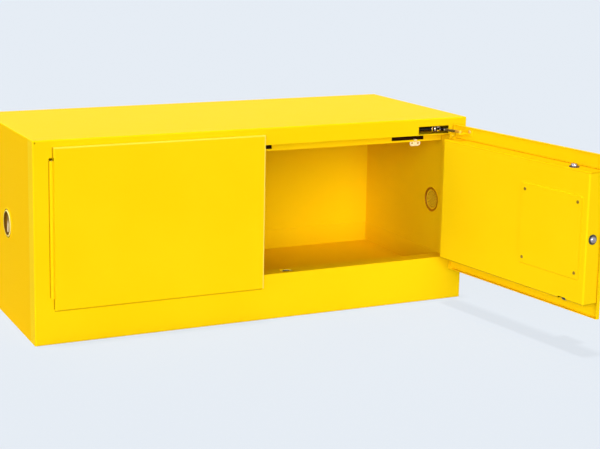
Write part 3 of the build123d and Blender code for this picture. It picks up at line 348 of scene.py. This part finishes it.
@dataclass(frozen=True)
class PowderCoat:
    """Powder coat with orange peel, an uneven film and a trace of dust."""

    name: str
    colour: Colour = PAINT
    thick: Colour = THICK_PAINT
    dust: Colour = (0.80, 0.62, 0.10)
    roughness: float = 0.30
    shine: float = PAINT_SHINE
    corner: float = 0.0022
    film: Patches = Patches(4.0, 3.0, low=0.32, high=0.68)
    specks: Patches = Patches(240.0, 5.0, low=0.66, high=0.86)
    speck_share: float = 0.25
    peel: Grain = Grain(380.0, 2.0)
    peel_height: float = 0.00004
    sheen: Grain = Grain(30.0, 4.0)
    sheen_swing: float = 0.10

    def material(
        self,
        layer: Optional[Callable[[Graph, Signal], Signal]] = None,
    ) -> bpy.types.Material:
        """Build the finish.

        Args:
            layer: what goes over the paint's colour, if anything.

        Returns:
            The material.
        """
        graph = Graph.material(self.name)
        colour = graph.blend(self.film.mask(graph), opaque(self.colour), opaque(self.thick))
        specks = self.specks.mask(graph) * self.speck_share
        colour = graph.blend(specks, colour, opaque(self.dust))
        if layer is not None:
            colour = layer(graph, colour)
        return graph.surface({
            "Base Color": colour,
            "Roughness": self.roughness + self.sheen.swing(graph, self.sheen_swing) + specks,
            "Specular IOR Level": self.shine,
            "Normal": graph.bump(self.peel.height(graph), self.peel_height, self.corner),
        })


@dataclass(frozen=True)
class PaintWithPaintedLight:
    """Powder coat with bands of painted light, such as painted shade along a seam."""

    paint: PowderCoat
    colour_bands: tuple[ColourBand, ...]

    def material(self) -> bpy.types.Material:
        """Build the finish."""
        return self.paint.material(self._over)

    def _over(self, graph: Graph, colour: Signal) -> Signal:
        """Lay all the bands over the paint.

        Args:
            graph: the material's graph.
            colour: the paint's colour.

        Returns:
            The colour with the bands over it.
        """
        for stain in self.colour_bands:
            colour = stain.over(graph, colour)
        return colour


@dataclass(frozen=True)
class Plating:
    """Plated or drawn metal with fine lines along X and cloudy stains."""

    name: str
    colour: Colour
    stain: Colour
    roughness: float
    corner: float = 0.0005
    cloud: Patches = Patches(60.0, 4.0, low=0.35, high=0.75)
    lines: Triple = (60.0, 900.0, 900.0)
    line_detail: float = 3.0
    line_depth: float = 0.00001
    line_swing: float = 0.25

    def material(self) -> bpy.types.Material:
        """Build the finish.

        Returns:
            The material.
        """
        graph = Graph.material(self.name)
        grain = graph.noise(1.0, self.line_detail, graph.stretched(self.lines))
        cloud = self.cloud.mask(graph)
        return graph.surface({
            "Base Color": graph.blend(cloud, opaque(self.colour), opaque(self.stain)),
            "Metallic": FULL,
            "Roughness": self.roughness + (grain - NOISE_MIDDLE) * self.line_swing,
            "Normal": graph.bump(grain, self.line_depth, self.corner),
        })


@dataclass(frozen=True)
class Moulding:
    """Coat or moulding with a fine grain and a trace of dust."""

    name: str
    colour: Colour
    dusty: Colour
    roughness: float = 0.5
    corner: float = 0.0008
    dust: Patches = Patches(90.0, 4.0, low=0.5, high=0.9)
    dust_roughness: float = 0.15
    grain: Grain = Grain(1400.0, 3.0)
    grain_height: float = 0.00004

    def material(self) -> bpy.types.Material:
        """Build the finish.

        Returns:
            The material.
        """
        graph = Graph.material(self.name)
        dust = self.dust.mask(graph)
        return graph.surface({
            "Base Color": graph.blend(dust, opaque(self.colour), opaque(self.dusty)),
            "Roughness": self.roughness + dust * self.dust_roughness,
            "Normal": graph.bump(self.grain.height(graph), self.grain_height, self.corner),
        })


@dataclass(frozen=True)
class RodAndFork:
    """Dark nitrided rod that meets a bright plated fork, with two flats of the fork in the
    rod's dark colour as painted shade.
    """

    name: str
    boundary: float
    fork_side: float
    # flats of the fork in the rod's dark colour, as painted shade
    shaded_flats: tuple[Span, ...] = ((0.0030, 0.0066), (0.0104, 0.0138))
    rod: Colour = (0.030, 0.028, 0.026)
    fork: Colour = (0.95, 0.95, 0.96)
    fork_stain: Colour = (0.78, 0.78, 0.80)
    cloud: Patches = Patches(90.0, 4.0, low=0.35, high=0.75)
    rod_roughness: float = 0.45
    fork_roughness: float = 0.18
    grain: Grain = Grain(700.0, 3.0)
    grain_swing: float = 0.08
    grain_height: float = 0.00001
    corner: float = 0.0005
    edge: float = 0.0002

    def material(self) -> bpy.types.Material:
        """Build the finish.

        Returns:
            The material.
        """
        graph = Graph.material(self.name)
        along = (graph.axis("X") - self.boundary) * self.fork_side
        on_fork = along.step(-self.edge, self.edge)
        for low, high in self.shaded_flats:
            on_fork = on_fork * (1.0 - along.band(low, high, self.edge))
        bright = graph.blend(
            self.cloud.mask(graph), opaque(self.fork), opaque(self.fork_stain))
        base = self.rod_roughness - on_fork * (self.rod_roughness - self.fork_roughness)
        return graph.surface({
            "Base Color": graph.blend(on_fork, opaque(self.rod), bright),
            "Metallic": FULL,
            "Roughness": base + self.grain.swing(graph, self.grain_swing),
            "Normal": graph.bump(self.grain.height(graph), self.grain_height, self.corner),
        })


@dataclass(frozen=True)
class BandedBar:
    """Plated bar with stretches of other colours along it."""

    name: str
    base: Colour
    colour_bands: tuple[ColourBand, ...]
    roughness: float = 0.32
    grain: Grain = Grain(700.0, 3.0)
    grain_swing: float = 0.2
    grain_height: float = 0.00001
    corner: float = 0.0005

    def material(self) -> bpy.types.Material:
        """Build the finish.

        Returns:
            The material.
        """
        graph = Graph.material(self.name)
        colour: object = opaque(self.base)
        for stain in self.colour_bands:
            colour = stain.over(graph, colour)
        return graph.surface({
            "Base Color": colour,
            "Metallic": FULL,
            "Roughness": self.roughness + self.grain.swing(graph, self.grain_swing),
            "Normal": graph.bump(self.grain.height(graph), self.grain_height, self.corner),
        })


@dataclass(frozen=True)
class VentPaint:
    """Powder coat on a vent socket: bronze mouth, a lip in painted shade, a ring lightened as a
    painted highlight and a groove in painted shade.
    """

    name: str
    centre: Point
    side: float
    paint: Colour = PAINT
    bronze: Colour = (0.34, 0.19, 0.08)
    # painted highlight on the ring, painted shade in the groove and inside the lip
    pale: Colour = (0.98, 0.86, 0.34)
    groove_shade: Colour = (0.22, 0.11, 0.002)
    lip_shade: Colour = (0.17, 0.075, 0.004)
    rim: float = 0.0312
    lip: float = 0.0284
    groove: Span = (0.0314, 0.0336)
    outside: float = 0.5455
    edge: float = 0.0004
    cloud: Patches = Patches(50.0, 4.0, low=0.30, high=0.80)
    pale_fade: float = 0.3
    groove_fade: float = 0.2
    cloud_roughness: float = 0.1
    paint_roughness: float = 0.34
    bronze_roughness: float = 0.14
    grain: Grain = Grain(500.0, 3.0)
    grain_height: float = 0.00002
    corner: float = 0.0006

    def material(self) -> bpy.types.Material:
        """Build the finish.

        Returns:
            The material.
        """
        graph = Graph.material(self.name)
        reach = graph.reach(self.centre)
        cloud = self.cloud.mask(graph)
        rim = 1.0 - reach.step(self.rim - self.edge, self.rim)
        inside = 1.0 - reach.step(self.lip - self.edge, self.lip)
        outer = (graph.axis("X") * self.side).step(self.outside - self.edge, self.outside)
        bare = rim * (1.0 - outer)
        pale = rim * (1.0 - cloud * self.pale_fade)
        shade_patchiness = (1.0 - self.groove_fade) + cloud * self.groove_fade
        shaded_groove = reach.band(*self.groove, self.edge) * outer * shade_patchiness
        colour = graph.blend(pale, opaque(self.paint), opaque(self.pale))
        colour = graph.blend(inside, colour, opaque(self.lip_shade))
        colour = graph.blend(shaded_groove, colour, opaque(self.groove_shade))
        base = self.paint_roughness - bare * (self.paint_roughness - self.bronze_roughness)
        return graph.surface({
            "Base Color": graph.blend(bare, colour, opaque(self.bronze)),
            "Metallic": bare,
            "Roughness": base + cloud * self.cloud_roughness,
            "Specular IOR Level": PAINT_SHINE,
            "Normal": graph.bump(self.grain.height(graph), self.grain_height, self.corner),
        })


@dataclass(frozen=True)
class GripCap:
    """Brown cap whose brown is partly painted shade of its recess, with a rim in painted shade
    and a pale grip bar that darkens towards its upper end as painted shade.
    """

    name: str
    centre: Point
    tilt: float = 12.0
    bar_half: float = 0.0042
    rim: float = 0.0214
    recess: Colour = (0.25, 0.120, 0.012)
    # painted shade at the rim and on the bar's upper end
    rim_shade: Colour = (0.17, 0.075, 0.004)
    bar: Colour = (0.88, 0.72, 0.42)
    bar_shade: Colour = (0.36, 0.22, 0.07)
    bar_fade: Span = (-0.004, 0.010)
    cloud: Patches = Patches(140.0, 4.0, low=0.30, high=0.75)
    bar_wear: float = 0.2
    roughness: float = 0.35
    cloud_roughness: float = 0.2
    shine: float = 0.01
    edge: float = 0.0004
    grain: Grain = Grain(900.0, 3.0)
    grain_height: float = 0.00003
    corner: float = 0.0008

    def material(self) -> bpy.types.Material:
        """Build the finish.

        Returns:
            The material.
        """
        graph = Graph.material(self.name)
        turn = math.radians(self.tilt)
        across = graph.axis("Y") - self.centre[0]
        above = graph.axis("Z") - self.centre[1]
        aside = across * math.cos(turn) + above * math.sin(turn)
        cloud = self.cloud.mask(graph)
        worn = (1.0 - self.bar_wear) + cloud * self.bar_wear
        on_bar = aside.band(-self.bar_half, self.bar_half, self.edge) * worn
        on_rim = graph.reach(self.centre).step(self.rim, self.rim + self.edge)
        bar = graph.blend(above.step(*self.bar_fade), opaque(self.bar), opaque(self.bar_shade))
        colour = graph.blend(on_bar, opaque(self.recess), bar)
        return graph.surface({
            "Base Color": graph.blend(on_rim, colour, opaque(self.rim_shade)),
            "Roughness": self.roughness + cloud * self.cloud_roughness,
            "Specular IOR Level": self.shine,
            "Normal": graph.bump(self.grain.height(graph), self.grain_height, self.corner),
        })


# Painted sheen and shade on single faces, and painted shade and highlights in seams, on edges
# and in slots.
TOP_SHEEN: Colour = (0.97, 0.650, 0.027)
SIDE_SHADE: Colour = (0.975, 0.575, 0.003)
SEAM_SHADE: Colour = (0.50, 0.28, 0.001)
SHADE_PAINT: Colour = (0.86, 0.50, 0.002)
EDGE_HIGHLIGHT: Colour = (0.98, 0.72, 0.100)
SLOT_SHADE: Colour = (0.030, 0.011, 0.004)
# Bands of the closer link: painted shade where it lies in the slot, painted glints, and a gilt
# end.
LINK_SLOT_SHADE: Colour = (0.010, 0.010, 0.010)
PAINTED_GLINT: Colour = (0.95, 0.95, 0.96)
GILT_END: Colour = (0.90, 0.60, 0.08)
# Places in the frame of the imported model, in metres.
FRAME_FACE: Span = (-0.2300, -0.2280)
PAN_SIDE: Span = (-0.5036, -0.5005)
LEFT_VENT_CENTRE: Point = (-0.0025, 0.230)
RIGHT_VENT_CENTRE: Point = (-0.1465, 0.237)


class Finish(Enum):
    """The finishes of the cabinet's pieces."""

    WRAP_PAINT = PaintWithPaintedLight(
        PowderCoat("wrap_powder_coat", shine=0.0005),
        (
            ColourBand(TOP_SHEEN, z=(0.4562, 0.4600)),  # painted sheen on the top
            ColourBand(SIDE_SHADE, x=(-0.5470, -0.5452)),  # painted shade on the left side
        ))
    FRAME_PAINT = PaintWithPaintedLight(
        PowderCoat("frame_powder_coat"),
        (
            # painted shade under the left door, along its hinge, and beside it below and above
            # the hinge
            ColourBand(
                SEAM_SHADE, x=(-0.5016, -0.0015), y=FRAME_FACE, z=(0.0742, 0.0776),
                strength=0.65),
            ColourBand(SEAM_SHADE, x=(-0.5120, -0.5098), y=FRAME_FACE, z=(0.1060, 0.4120)),
            ColourBand(SEAM_SHADE, x=PAN_SIDE, y=FRAME_FACE, z=(0.0800, 0.1060)),
            ColourBand(SEAM_SHADE, x=PAN_SIDE, y=FRAME_FACE, z=(0.4175, 0.4410)),
        ))
    LEFT_PAN_PAINT = PaintWithPaintedLight(
        PowderCoat("left_pan_powder_coat", corner=0.0006),
        (
            ColourBand(EDGE_HIGHLIGHT, x=(-0.0046, -0.0010)),  # painted highlight on the edge that meets the other door
            ColourBand(EDGE_HIGHLIGHT, z=(0.4386, 0.4420), strength=0.45),  # painted highlight on the upper edge
        ))
    OUTER_PAINT = PowderCoat("outer_powder_coat")
    PAN_PAINT = PowderCoat("pan_powder_coat", corner=0.0006)
    INNER_PAINT = PowderCoat("inner_powder_coat", corner=0.0007)
    BOX_PAINT = PaintWithPaintedLight(
        PowderCoat("box_powder_coat", corner=0.0007),
        (
            ColourBand(SEAM_SHADE, z=(0.1136, 0.1172), strength=0.65),  # painted shade along the lower bend
            ColourBand(SHADE_PAINT, z=(0.4040, 0.4084)),  # painted shade on the upper bend
        ))
    COVER_PAINT = PaintWithPaintedLight(
        PowderCoat("cover_powder_coat", corner=0.0003),
        (
            # painted shade on the plate's four edges
            ColourBand(SHADE_PAINT, z=(0.3518, 0.3550)),
            ColourBand(SHADE_PAINT, z=(0.1660, 0.1690), strength=0.5),
            ColourBand(SHADE_PAINT, y=(-0.7190, -0.7158)),
            ColourBand(SHADE_PAINT, y=(-0.5322, -0.5290)),
        ))
    STOP_PAINT = PaintWithPaintedLight(
        PowderCoat("stop_powder_coat", corner=0.0007),
        # painted shade inside the stop, seen through its slots
        (ColourBand(SLOT_SHADE, y=(-0.1880, -0.1737)),))
    LEFT_VENT = VentPaint("left_vent_paint", centre=LEFT_VENT_CENTRE, side=-1.0)
    RIGHT_VENT = VentPaint("right_vent_paint", centre=RIGHT_VENT_CENTRE, side=1.0)
    LEFT_CAP = GripCap("left_vent_cap", centre=LEFT_VENT_CENTRE)
    RIGHT_CAP = GripCap("right_vent_cap", centre=RIGHT_VENT_CENTRE)
    SCREEN = Moulding(
        "painted_screen", colour=(0.92, 0.58, 0.006), dusty=(0.78, 0.45, 0.006),
        corner=0.0004, grain=Grain(2600.0, 3.0), grain_height=0.00006)
    ZINC = Plating(
        "zinc_plate", colour=(0.70, 0.69, 0.66), stain=(0.55, 0.55, 0.53), roughness=0.34)
    PALE_ZINC = Plating(
        "pale_zinc", colour=(0.95, 0.78, 0.34), stain=(0.85, 0.62, 0.20), roughness=0.40)
    BRONZE_ZINC = Plating(
        "bronze_zinc", colour=(0.44, 0.28, 0.05), stain=(0.30, 0.18, 0.03), roughness=0.38)
    RIGHT_LINK = BandedBar(
        "right_link_plate", base=(0.24, 0.20, 0.075),
        colour_bands=(
            # painted shade where the link lies in the slot, then painted glints across it
            ColourBand(LINK_SLOT_SHADE, y=(-0.2380, -0.2080)),
            ColourBand(PAINTED_GLINT, y=(-0.2186, -0.2154)),
            ColourBand(PAINTED_GLINT, y=(-0.2280, -0.2252)),
            ColourBand(PAINTED_GLINT, y=(-0.2415, -0.2375)),
            ColourBand(GILT_END, y=(-0.2900, -0.2710)),
        ))
    LEFT_LINK = Plating(
        "left_link_plate", colour=(0.30, 0.29, 0.13), stain=(0.17, 0.13, 0.05), roughness=0.40)
    RIGHT_ROD = RodAndFork("right_rod_and_fork", boundary=0.4528, fork_side=1.0)
    LEFT_ROD = RodAndFork("left_rod_and_fork", boundary=-0.3696, fork_side=-1.0)
    CREAM_COAT = Moulding(
        "cream_coat", colour=(0.93, 0.78, 0.46), dusty=(0.80, 0.58, 0.22), roughness=0.45,
        corner=0.0006, grain=Grain(900.0, 3.0))
    STEEL = Plating(
        "drawn_steel", colour=(0.60, 0.60, 0.60), stain=(0.45, 0.45, 0.45), roughness=0.28)
    CHROME = Plating(
        "worn_chrome", colour=(0.46, 0.43, 0.48), stain=(0.26, 0.20, 0.16), roughness=0.22)
    BRASS = Plating(
        "machined_brass", colour=(0.76, 0.57, 0.25), stain=(0.58, 0.42, 0.18), roughness=0.28)
    BLACK = Moulding(
        "black_nylon", colour=(0.020, 0.020, 0.022), dusty=(0.060, 0.060, 0.062))
    CAST = Moulding(
        "black_wrinkle_coat", colour=(0.016, 0.016, 0.018), dusty=(0.050, 0.050, 0.052),
        roughness=0.42, corner=0.0012, grain=Grain(700.0, 3.0), grain_height=0.00010)


@dataclass
class Paintbox:
    """Makes each finish once and hands it out."""

    made: dict[Finish, bpy.types.Material] = field(default_factory=dict)

    def get(self, finish: Finish) -> bpy.types.Material:
        """Hand out a finish.

        Args:
            finish: the finish that is wanted.

        Returns:
            Its material.
        """
        if finish not in self.made:
            self.made[finish] = finish.value.material()
        return self.made[finish]


@dataclass
class Workshop:
    """What every sub-assembly needs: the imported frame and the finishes."""

    frame: dict
    paints: Paintbox = field(default_factory=Paintbox)

    def dress(self, nodes: Iterable[str], finish: Finish) -> None:
        """Give CAD nodes a finish.

        Args:
            nodes: names of CAD nodes.
            finish: the finish they get.
        """
        for name in nodes:
            data = self.frame["nodes"][name].data
            data.materials.clear()
            data.materials.append(self.paints.get(finish))
            LOG.info("%s is finished in %s", name, finish.name.lower())


@dataclass
class CabinetShell:
    """Sheets and small fittings that stand still."""

    shop: Workshop

    def build(self) -> None:
        """Dress the shell."""
        self.shop.dress(("outer_wrap",), Finish.WRAP_PAINT)
        self.shop.dress(("front_frame",), Finish.FRAME_PAINT)
        self.shop.dress(("back_panel", "base_panel"), Finish.OUTER_PAINT)
        self.shop.dress(("liner_wrap", "liner_back", "sump_tray"), Finish.INNER_PAINT)
        self.shop.dress(("door_stop",), Finish.STOP_PAINT)
        self.shop.dress(
            ("floor_supports", "top_strike", "bottom_strike", "ground_wing_nut"), Finish.ZINC)
        self.shop.dress(("link_hanger", "fusible_link"), Finish.CREAM_COAT)
        self.shop.dress(("ground_stud",), Finish.BRASS)


@dataclass
class SidePair:
    """Vent, hinge and closer of one side."""

    OWN_PIECES: ClassVar[dict[str, str]] = {
        "rod": "closer_rod", "link": "closer_link", "vent": "vent_socket", "cap": "vent_plug"}

    shop: Workshop
    side: str

    def build(self) -> None:
        """Dress the pieces of this side."""
        self._dress(("hinge_frame_leaf", "hinge_door_leaf", "door_bracket"), Finish.PAN_PAINT)
        self._dress(("hinge_pin",), Finish.STEEL)
        self._dress(("vent_screen",), Finish.SCREEN)
        self._dress(("closer_clamps",), Finish.ZINC)
        self._dress(("bracket_bolt",), Finish.PALE_ZINC)
        self._dress(("closer_tube",), Finish.CAST)
        for kind, piece in self.OWN_PIECES.items():
            self._dress((piece,), Finish[f"{self.side}_{kind}".upper()])

    def _dress(self, names: Iterable[str], finish: Finish) -> None:
        """Give pieces of this side a finish."""
        self.shop.dress((f"{self.side}_{name}" for name in names), finish)


@dataclass
class Doors:
    """Both doors and the latch in the right one."""

    shop: Workshop

    def build(self) -> None:
        """Dress the doors and the latch."""
        self.shop.dress(("left_door_pan",), Finish.LEFT_PAN_PAINT)
        self.shop.dress(("right_door_pan",), Finish.PAN_PAINT)
        self.shop.dress(("left_door_box", "right_door_box"), Finish.BOX_PAINT)
        self.shop.dress(("latch_cover_plate",), Finish.COVER_PAINT)
        self.shop.dress(("edge_strike", "latch_chassis", "latch_hub"), Finish.ZINC)
        self.shop.dress(("cover_screws",), Finish.BRONZE_ZINC)
        self.shop.dress(("paddle_pin", "paddle_spring"), Finish.STEEL)
        self.shop.dress(
            ("top_bolt", "bottom_bolt", "middle_bolt", "lock_cylinder"), Finish.CHROME)
        self.shop.dress(("bolt_bushings",), Finish.BLACK)
        self.shop.dress(("handle_cup", "handle_paddle"), Finish.CAST)


@dataclass(frozen=True)
class Lamp:
    """A soft lamp far away: its level, its spread in degrees and where it shines from."""

    name: str
    level: float
    spread: float
    place: Triple

    def build(self) -> None:
        """Hang the lamp."""
        data = bpy.data.lights.new(self.name, "SUN")
        data.energy = self.level
        data.angle = math.radians(self.spread)
        lamp = bpy.data.objects.new(self.name, data)
        bpy.context.scene.collection.objects.link(lamp)
        lamp.rotation_mode = "QUATERNION"
        lamp.rotation_quaternion = Vector(self.place).to_track_quat("Z", "Y")


@dataclass
class Studio:
    """Floor, light and camera."""

    backdrop: Colour = (0.783, 0.838, 0.905)
    floor_paint: Colour = (0.42, 0.45, 0.49)
    floor_glow: Colour = (0.858, 0.918, 0.990)
    floor_size: float = 90.0
    floor_share: float = 0.80
    world_light: Colour = (1.0, 1.0, 1.0)
    world_level: float = 0.15
    lamps: tuple[Lamp, ...] = (
        Lamp("front_lamp", level=3.50, spread=50.0, place=(-0.34, -0.93, 0.13)),
        Lamp("left_lamp", level=1.36, spread=40.0, place=(-0.98, -0.05, 0.18)),
        Lamp("top_lamp", level=2.45, spread=4.0, place=(-0.03, 0.02, 1.00)),
        Lamp("rear_lamp", level=3.00, spread=12.0, place=(0.82, 0.57, 0.01)),
    )
    lens_mm: float = 81.250
    sensor_mm: float = 36.0
    shift: Point = (0.1, -0.1)
    eye: Triple = (-1.29701, -3.00939, 0.92882)
    yaw: float = 23.964
    pitch: float = 10.301
    roll: float = 0.675

    def build(self) -> None:
        """Make the stage."""
        self._floor()
        self._world()
        for lamp in self.lamps:
            lamp.build()
        self._camera()
        bpy.context.scene.view_settings.view_transform = "Standard"

    @staticmethod
    def _seen(graph: Graph) -> Signal:
        """Find the rays that show a surface rather than light it.

        Args:
            graph: the graph that asks.

        Returns:
            1 where the camera sees it straight, in a reflection or through glass.
        """
        rays = [graph.add("ShaderNodeLightPath", output=name) for name in (
            "Is Camera Ray", "Is Glossy Ray", "Is Transmission Ray")]
        return rays[0].maths("MAXIMUM", rays[1]).maths("MAXIMUM", rays[2])

    def _floor(self) -> None:
        """A large pale floor that shows the backdrop's colour and a part of the shadow."""
        bpy.ops.object.select_all(action="DESELECT")
        bpy.ops.mesh.primitive_plane_add(size=self.floor_size, location=(0, 0, 0))
        floor = bpy.context.object
        floor.name = "studio_floor"
        graph = Graph.material("studio_floor_paint")
        paint = graph.add("ShaderNodeBsdfDiffuse", inputs={"Color": opaque(self.floor_paint)})
        plain = graph.add("ShaderNodeEmission", inputs={
            "Color": opaque(self.floor_glow), "Strength": FULL})
        share = self._seen(graph) * self.floor_share
        graph.close("ShaderNodeOutputMaterial", graph.add(
            "ShaderNodeMixShader", inputs={0: share, 1: paint, 2: plain}))
        floor.data.materials.append(graph.owner)

    def _world(self) -> None:
        """Even light, seen by the camera and by reflections as the pale backdrop."""
        world = bpy.data.worlds.new("studio_world")
        bpy.context.scene.world = world
        graph = Graph(world)
        light = graph.add("ShaderNodeBackground", inputs={
            "Color": opaque(self.world_light), "Strength": self.world_level})
        plain = graph.add("ShaderNodeBackground", inputs={
            "Color": opaque(self.backdrop), "Strength": FULL})
        graph.close("ShaderNodeOutputWorld", graph.add(
            "ShaderNodeMixShader", inputs={0: self._seen(graph), 1: light, 2: plain}))

    def _camera(self) -> None:
        """Set up the photograph's viewpoint."""
        data = bpy.data.cameras.new("camera")
        data.lens = self.lens_mm
        data.sensor_width = self.sensor_mm
        data.shift_x, data.shift_y = self.shift
        camera = bpy.data.objects.new("camera", data)
        bpy.context.scene.collection.objects.link(camera)
        yaw, pitch, roll = (math.radians(a) for a in (self.yaw, self.pitch, self.roll))
        ahead = Vector((
            math.sin(yaw) * math.cos(pitch), math.cos(yaw) * math.cos(pitch), -math.sin(pitch)))
        level = Vector((math.cos(yaw), -math.sin(yaw), 0.0))
        above = level.cross(ahead)
        right = level * math.cos(roll) + above * math.sin(roll)
        up = above * math.cos(roll) - level * math.sin(roll)
        turn = Matrix((right, up, -ahead)).transposed()
        camera.matrix_world = Matrix.Translation(self.eye) @ turn.to_4x4()
        bpy.context.scene.camera = camera


def main() -> None:
    """Build the whole scene."""
    logging.basicConfig(level=logging.INFO, format="%(message)s")
    shop = Workshop(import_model())
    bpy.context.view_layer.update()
    CabinetShell(shop).build()
    for side in ("left", "right"):
        SidePair(shop, side).build()
    Doors(shop).build()
    Studio().build()


if __name__ == "__main__":
    main()
